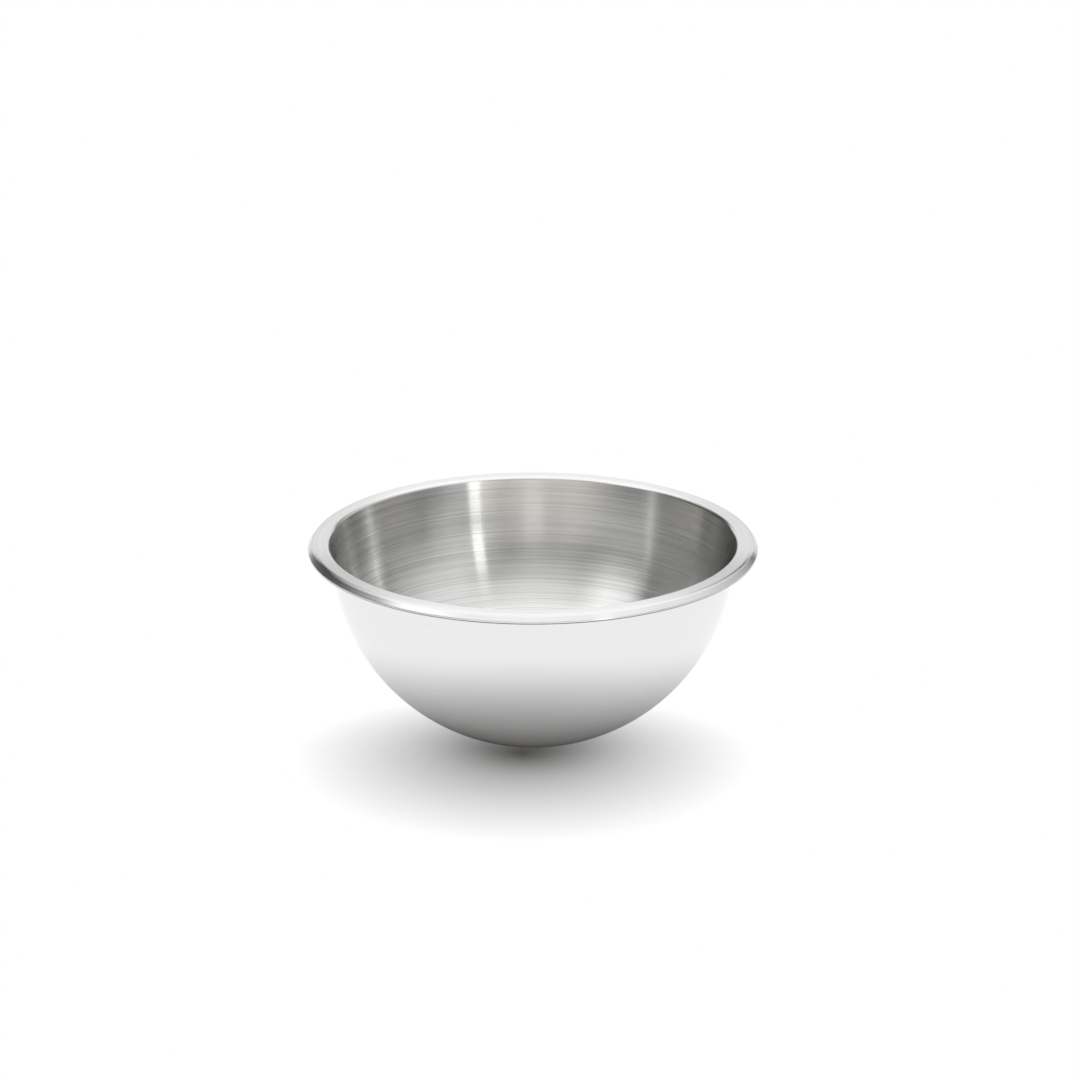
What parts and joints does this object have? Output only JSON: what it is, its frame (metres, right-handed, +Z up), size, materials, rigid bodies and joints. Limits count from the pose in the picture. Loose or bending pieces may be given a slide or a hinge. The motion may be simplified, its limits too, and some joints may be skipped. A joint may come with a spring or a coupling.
{
  "type": "mixing bowl",
  "caption": "Hemispherical stainless-steel mixing bowl on a small flat foot, with a wide flat rim whose bevelled edge is folded under, for whisking and mixing by hand.",
  "frame": {"origin": "middle of the flat that the bowl stands on", "axes": "+Z up along the bowl's axis, out of its mouth; X and Y are alike, because the bowl is a body of revolution"},
  "size_m": [0.2257, 0.2258, 0.1015],
  "materials": {
    "stainless_sheet": "spun stainless sheet, brushed around the axis on the inside and satin-polished on the outside",
    "stainless_wire": "drawn stainless wire, dull"
  },
  "bodies": {
    "root": {"bowl_shell": "stainless_sheet", "rim_wire": "stainless_wire"}
  },
  "joints": []
}
